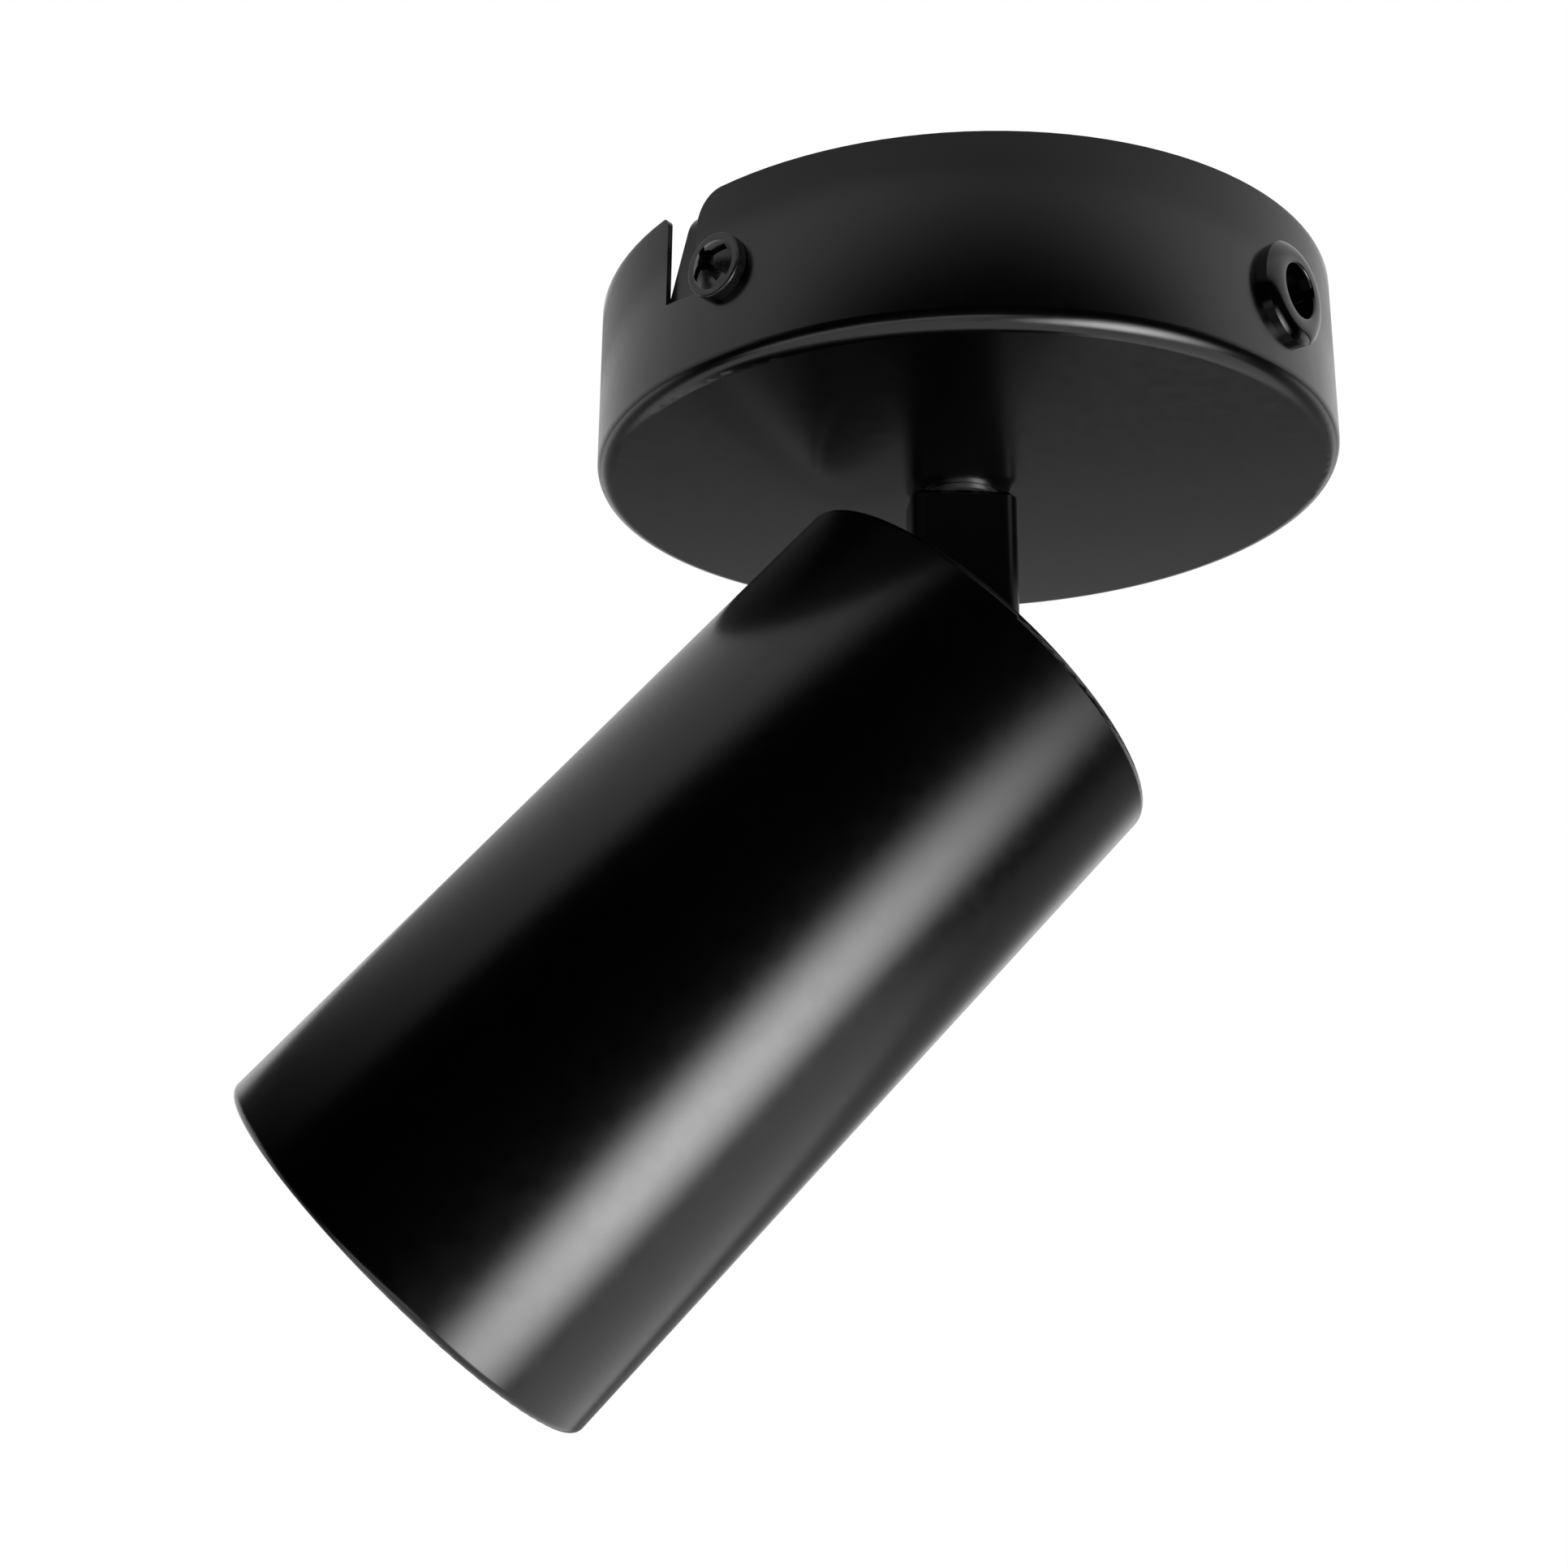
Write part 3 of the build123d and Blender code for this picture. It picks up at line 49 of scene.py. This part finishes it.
# Finishes. Each has two linear colours and two ends of roughness, between which the surface varies.
# Patch is the size of its changes of colour, and grain and grain_depth are those of its relief, all in metres.
FINISHES = {
    "satin_black": {
        "colours": ((0.0004, 0.0004, 0.0004), (0.0007, 0.0007, 0.0007)),
        "roughness": (0.2, 0.24),
        "grain": 0.00022,
        "grain_depth": 0.0000008,
    },
    "black_steel": {
        "colours": ((0.002, 0.002, 0.002), (0.004, 0.004, 0.004)),
        "roughness": (0.26, 0.36),
    },
    "black_screw": {
        "colours": ((0.002, 0.002, 0.002), (0.008, 0.008, 0.008)),
        "roughness": (0.14, 0.34),
        "patch": 0.002,
    },
    "black_rubber": {
        "colours": ((0.0006, 0.0006, 0.0006), (0.0012, 0.0012, 0.0012)),
        "roughness": (0.06, 0.1),
        "patch": 0.004,
    },
    "zinc_steel": {
        "colours": ((0.36, 0.36, 0.35), (0.48, 0.48, 0.47)),
        "roughness": (0.3, 0.44),
        "metallic": 1.0,
        "patch": 0.004,
    },
    "brass": {
        "colours": ((0.72, 0.5, 0.22), (0.82, 0.6, 0.3)),
        "roughness": (0.2, 0.32),
        "metallic": 1.0,
        "patch": 0.003,
    },
    "white_nylon": {
        "colours": ((0.76, 0.76, 0.72), (0.82, 0.82, 0.78)),
        "roughness": (0.36, 0.46),
        "patch": 0.006,
    },
    "black_fibre": {
        "colours": ((0.012, 0.012, 0.012), (0.02, 0.02, 0.02)),
        "roughness": (0.5, 0.62),
        "patch": 0.002,
    },
    "white_sleeve": {
        "colours": ((0.7, 0.68, 0.6), (0.82, 0.8, 0.72)),
        "roughness": (0.6, 0.8),
        "patch": 0.001,
        "grain": 0.0002,
        "grain_depth": 0.00004,
    },
    "white_ceramic": {
        "colours": ((0.8, 0.79, 0.75), (0.86, 0.85, 0.81)),
        "roughness": (0.5, 0.65),
        "patch": 0.004,
    },
    "lamp_plastic": {
        "colours": ((0.78, 0.78, 0.77), (0.84, 0.84, 0.83)),
        "roughness": (0.28, 0.36),
        "patch": 0.008,
    },
    "live_lead": {
        "colours": ((0.13, 0.045, 0.018), (0.17, 0.06, 0.025)),
        "roughness": (0.35, 0.45),
        "patch": 0.003,
    },
    "neutral_lead": {
        "colours": ((0.015, 0.09, 0.32), (0.02, 0.12, 0.4)),
        "roughness": (0.35, 0.45),
        "patch": 0.003,
    },
    "earth_lead": {
        "colours": ((0.06, 0.28, 0.04), (0.62, 0.55, 0.04)),
        "roughness": (0.35, 0.45),
        "patch": 0.0025,
    },
}
GLOSS_PATCHES_ACROSS = 6  # patches of gloss across one patch of colour
GLOSS_DETAIL = 4.0
GRAIN_DETAIL = 2.0
NOISE_MIDDLE = (0.3, 0.7)  # the part of a noise's range that most of it fills

# Lens of the lamp: milky, with raised rings round the head's axis, in metres.
LENS_COLOURS = ((0.64, 0.64, 0.62), (0.7, 0.7, 0.68))
LENS_ROUGHNESS = (0.26, 0.34)
LENS_PATCH = 0.006
LENS_COAT = 0.5
LENS_COAT_ROUGHNESS = 0.12
LENS_MILK = 0.3
LENS_MILK_DEPTH = 0.002
LENS_RING_PITCH = 0.0011
LENS_RING_HEIGHT = 0.00009

# Floor, in metres.
FLOOR_LEVEL = -0.75
FLOOR_RADIUS = 1.0
FLOOR_CENTRE = (0.0, 0.15)
FLOOR_COLOUR = (0.8, 0.8, 0.8, 1.0)

# Ceiling panel: a glowing ring round the canopy, in metres. It fades out to the front and to the sides, is
# brighter on the right, and is weaker in its middle and close to the canopy.
PANEL_HEIGHT = 0.0006
PANEL_HOLE_RADIUS = 0.0506
PANEL_RADIUS = 0.32
PANEL_STRENGTH = 0.82
PANEL_FRONT_FADE = (-0.088, -0.050)
PANEL_SIDE_FADE = (0.05, 0.27)
PANEL_LEAN = (-0.12, 0.06)
PANEL_LEAN_SHARES = (0.9, 1.08)
PANEL_NEAR_FADE = (0.050, 0.063)
PANEL_NEAR_SIDES = (-0.03, 0.03)
PANEL_NEAR_SHARES = (0.62, 0.76)
PANEL_MIDDLE_FADE = (0.0, 0.03)
PANEL_MIDDLE_SHARE = 0.76
RING_STEPS = 96

# Soft box: in front, to the right and below, roughly in line with the head, brightest in its middle, in metres.
SOFTBOX_TARGET = (-0.036, -0.026, -0.1)
SOFTBOX_DIRECTION = (0.612, -0.508, -0.606)
SOFTBOX_LENGTH_DIRECTION = (-0.55, 0.12, -0.82)
SOFTBOX_DISTANCE = 0.6
SOFTBOX_HALF_WIDTH = 0.31
SOFTBOX_HALF_LENGTH = 0.37
SOFTBOX_STRENGTH = 12.5

# World: a grey wall behind, darker low down in its middle, a pale band low in front and to the left, and
# light from straight above. Each pair of ends is on one part of the direction.
BAND_FOOT = (-0.66, -0.58)
BAND_TOP = (-0.48, -0.38)
BAND_RIGHT_END = (0.0, 0.2)
BAND_BACK_END = (-0.3, -0.1)
BAND_STRENGTH = 1.6
WALL_EDGE = (-0.02, 0.3)
WALL_STRENGTH = 0.25
WALL_MIDDLE = (0.72, 0.89)
WALL_LOW_EDGE = (-0.45, -0.35)
WALL_LOW_SHARE = 0.08
SKY_EDGE = (0.8, 0.95)
SKY_STRENGTH = 0.8

# Backdrop: in gloss and glass the white background shows only above this foot and past the wall's edge. The
# dark studio, on the photographer's side and low down, hides the rest of it.
BACKDROP_FOOT = (-0.3, -0.05)


# Node helpers


def new_tree(name):
    material = bpy.data.materials.new(name)
    material.use_nodes = True
    tree = material.node_tree
    tree.nodes.clear()
    return material, tree


def node(tree, kind, **values):
    """A shader node, with its inputs set by name and its properties by attribute."""
    made = tree.nodes.new(kind)
    for key, value in values.items():
        if hasattr(made, key):
            setattr(made, key, value)
        else:
            made.inputs[key.replace("_", " ")].default_value = value
    return made


def link(tree, source, target):
    tree.links.new(source, target)


def show(tree, shader, kind="ShaderNodeOutputMaterial"):
    """Makes this shader the surface of the material or the world."""
    link(tree, shader.outputs[0], node(tree, kind).inputs["Surface"])


def own_place(tree):
    """Places on an object, in its own coordinates."""
    return node(tree, "ShaderNodeTexCoord").outputs["Object"]


def axes(tree, vector):
    """The three parts of a place or a direction, by name."""
    split = node(tree, "ShaderNodeSeparateXYZ")
    link(tree, vector, split.inputs[0])
    return split.outputs


def map_range(tree, value, ends, results, kind="SMOOTHSTEP"):
    """Maps a value between two ends to a value between two results."""
    ramp = node(tree, "ShaderNodeMapRange", interpolation_type=kind)
    ramp.inputs["From Min"].default_value, ramp.inputs["From Max"].default_value = ends
    ramp.inputs["To Min"].default_value, ramp.inputs["To Max"].default_value = results
    link(tree, value, ramp.inputs["Value"])
    return ramp.outputs["Result"]


def maths(tree, operation, first, second=None):
    """A sum on one or two values, of which the second may be a plain number."""
    made = node(tree, "ShaderNodeMath", operation=operation)
    link(tree, first, made.inputs[0])
    if isinstance(second, float):
        made.inputs[1].default_value = second
    elif second is not None:
        link(tree, second, made.inputs[1])
    return made.outputs[0]


def product(tree, first, *others):
    for other in others:
        first = maths(tree, "MULTIPLY", first, other)
    return first


def vector_maths(tree, operation, first, second=None):
    """A sum on one vector, or on one vector and a fixed one."""
    made = node(tree, "ShaderNodeVectorMath", operation=operation)
    link(tree, first, made.inputs[0])
    if second is not None:
        made.inputs[1].default_value = second
    return made.outputs["Value" if operation == "LENGTH" else "Vector"]


def noise(tree, place, feature, detail=3.0, roughness=0.55):
    """Noise whose features measure about this many metres."""
    texture = node(tree, "ShaderNodeTexNoise", Scale=1.0 / feature, Detail=detail, Roughness=roughness)
    link(tree, place, texture.inputs["Vector"])
    return texture.outputs["Fac"]


def spread(tree, value, results):
    """Maps the middle of a noise's range to a value between two results."""
    return map_range(tree, value, NOISE_MIDDLE, results, kind="LINEAR")


def vary(tree, shader, slow, colours, gloss, roughness):
    """Varies a shader's colour with one noise and its roughness with another."""
    mix = node(tree, "ShaderNodeMix", data_type="RGBA")
    factor, colour_a, colour_b, mixed = mix.inputs[0], mix.inputs[6], mix.inputs[7], mix.outputs[2]
    colour_a.default_value, colour_b.default_value = [(*colour, 1.0) for colour in colours]
    link(tree, spread(tree, slow, (0.0, 1.0)), factor)
    link(tree, mixed, shader.inputs["Base Color"])
    link(tree, spread(tree, gloss, roughness), shader.inputs["Roughness"])


def raise_relief(tree, shader, height, depth):
    """Gives a shader's surface a relief of this depth in metres."""
    bump = node(tree, "ShaderNodeBump", Distance=depth)
    link(tree, height, bump.inputs["Height"])
    link(tree, bump.outputs["Normal"], shader.inputs["Normal"])


# Materials


def finish_material(
    name, colours, roughness, metallic=0.0, patch=0.012, grain=0.0003, grain_depth=0.000004
):
    """A surface with slow changes of colour and gloss, and a fine grain in its relief."""
    material, tree = new_tree(name)
    place = own_place(tree)
    shader = node(tree, "ShaderNodeBsdfPrincipled", Metallic=metallic)
    gloss = noise(tree, place, patch / GLOSS_PATCHES_ACROSS, detail=GLOSS_DETAIL)
    vary(tree, shader, noise(tree, place, patch), colours, gloss, roughness)
    raise_relief(tree, shader, noise(tree, place, grain, detail=GRAIN_DETAIL), grain_depth)
    show(tree, shader)
    return material


def lens_material():
    """A milky lens under a glossy skin, with fine raised rings round the head's axis."""
    material, tree = new_tree("lamp_lens")
    place = own_place(tree)
    from_pivot = vector_maths(tree, "SUBTRACT", place, TILT_PIVOT)
    across = vector_maths(tree, "CROSS_PRODUCT", from_pivot, Vector(HEAD_AXIS).normalized())
    radius = vector_maths(tree, "LENGTH", across)
    turns = maths(tree, "MULTIPLY", radius, 2 * math.pi / LENS_RING_PITCH)
    shader = node(
        tree, "ShaderNodeBsdfPrincipled", Coat_Weight=LENS_COAT, Coat_Roughness=LENS_COAT_ROUGHNESS,
        Subsurface_Weight=LENS_MILK, Subsurface_Scale=LENS_MILK_DEPTH,
    )
    slow = noise(tree, place, LENS_PATCH)
    vary(tree, shader, slow, LENS_COLOURS, slow, LENS_ROUGHNESS)
    raise_relief(tree, shader, maths(tree, "SINE", turns), LENS_RING_HEIGHT)
    show(tree, shader)
    return material


def materials():
    """One material for each of the record's slots."""
    made = {name: finish_material(name, **values) for name, values in FINISHES.items()}
    made["lamp_lens"] = lens_material()
    return made


def dress_frame(finishes):
    """Gives every carried-over piece the material of its slot."""
    for entry in frame["record"]["subparts"]:
        piece = frame["nodes"][entry["node"]]
        piece.data.materials.clear()
        piece.data.materials.append(finishes[entry["material_slot"]])


# Studio


def camera():
    data = bpy.data.cameras.new("camera")
    data.sensor_width = SENSOR_WIDTH
    data.lens = FOCAL_LENGTH
    data.shift_x, data.shift_y = SHIFT
    data.clip_start, data.clip_end = CAMERA_CLIP
    made = bpy.data.objects.new("camera", data)
    made.location = CAMERA_PLACE
    made.rotation_euler = [math.radians(turn) for turn in CAMERA_TURN]
    bpy.context.collection.objects.link(made)
    bpy.context.scene.camera = made


def seen_or_else(tree, kind, seen_shader, other_shader, open_share=None):
    """The first shader for what the camera, gloss and glass see, and the other one for the rest of the light.

    The open share is the part of the first one that nothing in the studio hides from gloss and glass.
    """
    rays = node(tree, "ShaderNodeLightPath").outputs
    seen = maths(tree, "MAXIMUM", rays["Is Glossy Ray"], rays["Is Transmission Ray"])
    if open_share is not None:
        seen = maths(tree, "MULTIPLY", seen, open_share)
    seen = maths(tree, "MAXIMUM", rays["Is Camera Ray"], seen)
    mix = node(tree, "ShaderNodeMixShader")
    link(tree, seen, mix.inputs[0])
    link(tree, other_shader.outputs[0], mix.inputs[1])
    link(tree, seen_shader.outputs[0], mix.inputs[2])
    show(tree, mix, kind)


def glow(tree, strength):
    """White light of this strength."""
    light = node(tree, "ShaderNodeEmission", Color=WHITE)
    link(tree, strength, light.inputs["Strength"])
    show(tree, light)


def floor():
    """A plain pale floor under the light, white where the camera, gloss or glass sees it."""
    bpy.ops.mesh.primitive_circle_add(
        vertices=RING_STEPS, radius=FLOOR_RADIUS, fill_type="NGON", location=(*FLOOR_CENTRE, FLOOR_LEVEL)
    )
    made = bpy.context.object
    made.name = "floor"
    material, tree = new_tree("floor_white")
    paper = node(tree, "ShaderNodeBsdfDiffuse", Color=FLOOR_COLOUR)
    white = node(tree, "ShaderNodeEmission", Color=WHITE, Strength=1.0)
    seen_or_else(tree, "ShaderNodeOutputMaterial", white, paper)
    made.data.materials.append(material)


def panel_mesh():
    """A flat ring, open in the middle so that light also falls into the canopy."""
    made = bmesh.new()
    angles = [2 * math.pi * step / RING_STEPS for step in range(RING_STEPS)]
    rims = []
    for radius in (PANEL_HOLE_RADIUS, PANEL_RADIUS):
        points = [(radius * math.cos(angle), radius * math.sin(angle), PANEL_HEIGHT) for angle in angles]
        rims.append([made.verts.new(point) for point in points])
    inner, outer = rims
    for step in range(RING_STEPS):
        after = (step + 1) % RING_STEPS
        made.faces.new((inner[step], inner[after], outer[after], outer[step]))
    mesh = bpy.data.meshes.new("ceiling_panel")
    made.to_mesh(mesh)
    made.free()
    return mesh


def ceiling_panel():
    """The ceiling's glow round the canopy, unseen by the camera."""
    made = bpy.data.objects.new("ceiling_panel", panel_mesh())
    bpy.context.collection.objects.link(made)
    material, tree = new_tree("ceiling_glow")
    place = own_place(tree)
    along = axes(tree, place)
    aside = maths(tree, "ABSOLUTE", along["X"])
    distance = vector_maths(tree, "LENGTH", place)
    front = map_range(tree, along["Y"], PANEL_FRONT_FADE, (0.0, PANEL_STRENGTH))
    sides = map_range(tree, aside, PANEL_SIDE_FADE, (1.0, 0.0))
    middle = map_range(tree, aside, PANEL_MIDDLE_FADE, (PANEL_MIDDLE_SHARE, 1.0))
    lean = map_range(tree, along["X"], PANEL_LEAN, PANEL_LEAN_SHARES)
    near_share = map_range(tree, along["X"], PANEL_NEAR_SIDES, PANEL_NEAR_SHARES)
    far = map_range(tree, distance, PANEL_NEAR_FADE, (0.0, 1.0))
    near = maths(tree, "MAXIMUM", near_share, far)
    glow(tree, product(tree, front, sides, middle, lean, near))
    made.data.materials.append(material)
    made.visible_camera = False


def world():
    """A soft studio, dark on the photographer's side, and a white background that gloss and glass show too."""
    made = bpy.data.worlds.new("studio")
    made.use_nodes = True
    tree = made.node_tree
    tree.nodes.clear()
    direction = axes(tree, node(tree, "ShaderNodeTexCoord").outputs["Generated"])
    wall = map_range(tree, direction["Y"], WALL_EDGE, (0.0, WALL_STRENGTH))
    not_middle = map_range(tree, direction["Y"], WALL_MIDDLE, (1.0, WALL_LOW_SHARE))
    not_low = map_range(tree, direction["Z"], WALL_LOW_EDGE, (WALL_LOW_SHARE, 1.0))
    wall = product(tree, wall, maths(tree, "MAXIMUM", not_middle, not_low))
    sky = map_range(tree, direction["Z"], SKY_EDGE, (0.0, SKY_STRENGTH))
    band = map_range(tree, direction["Z"], BAND_FOOT, (0.0, BAND_STRENGTH))
    fades = [
        map_range(tree, direction[axis], ends, (1.0, 0.0))
        for axis, ends in (("Z", BAND_TOP), ("X", BAND_RIGHT_END), ("Y", BAND_BACK_END))
    ]
    band = product(tree, band, *fades)
    studio = node(tree, "ShaderNodeBackground", Color=WHITE)
    lights = maths(tree, "MAXIMUM", maths(tree, "MAXIMUM", wall, sky), band)
    link(tree, lights, studio.inputs["Strength"])
    white = node(tree, "ShaderNodeBackground", Color=WHITE, Strength=1.0)
    behind = map_range(tree, direction["Y"], WALL_EDGE, (0.0, 1.0))
    above_foot = map_range(tree, direction["Z"], BACKDROP_FOOT, (0.0, 1.0))
    seen_or_else(tree, "ShaderNodeOutputWorld", white, studio, product(tree, behind, above_foot))
    bpy.context.scene.world = made


def softbox():
    """A soft box that glows most in its middle, unseen by the camera."""
    corners = ((-1, -1), (1, -1), (1, 1), (-1, 1))
    points = [(x * SOFTBOX_HALF_WIDTH, y * SOFTBOX_HALF_LENGTH, 0.0) for x, y in corners]
    mesh = bpy.data.meshes.new("softbox")
    mesh.from_pydata(points, [], [(0, 1, 2, 3)])
    made = bpy.data.objects.new("softbox", mesh)
    back = Vector(SOFTBOX_DIRECTION).normalized()
    along = Vector(SOFTBOX_LENGTH_DIRECTION)
    along = (along - back * along.dot(back)).normalized()
    across = along.cross(back)
    made.location = Vector(SOFTBOX_TARGET) + back * SOFTBOX_DISTANCE
    made.rotation_mode = "QUATERNION"
    made.rotation_quaternion = Matrix((across, along, back)).transposed().to_quaternion()
    bpy.context.collection.objects.link(made)
    material, tree = new_tree("softbox_glow")
    place = axes(tree, own_place(tree))
    shares = [
        map_range(tree, maths(tree, "ABSOLUTE", place[axis]), (0.0, half), (1.0, 0.0))
        for axis, half in (("X", SOFTBOX_HALF_WIDTH), ("Y", SOFTBOX_HALF_LENGTH))
    ]
    glow(tree, product(tree, *shares, SOFTBOX_STRENGTH))
    made.data.materials.append(material)
    made.visible_camera = False


camera()
floor()
ceiling_panel()
world()
softbox()
dress_frame(materials())
bpy.context.scene.view_settings.view_transform = "Standard"
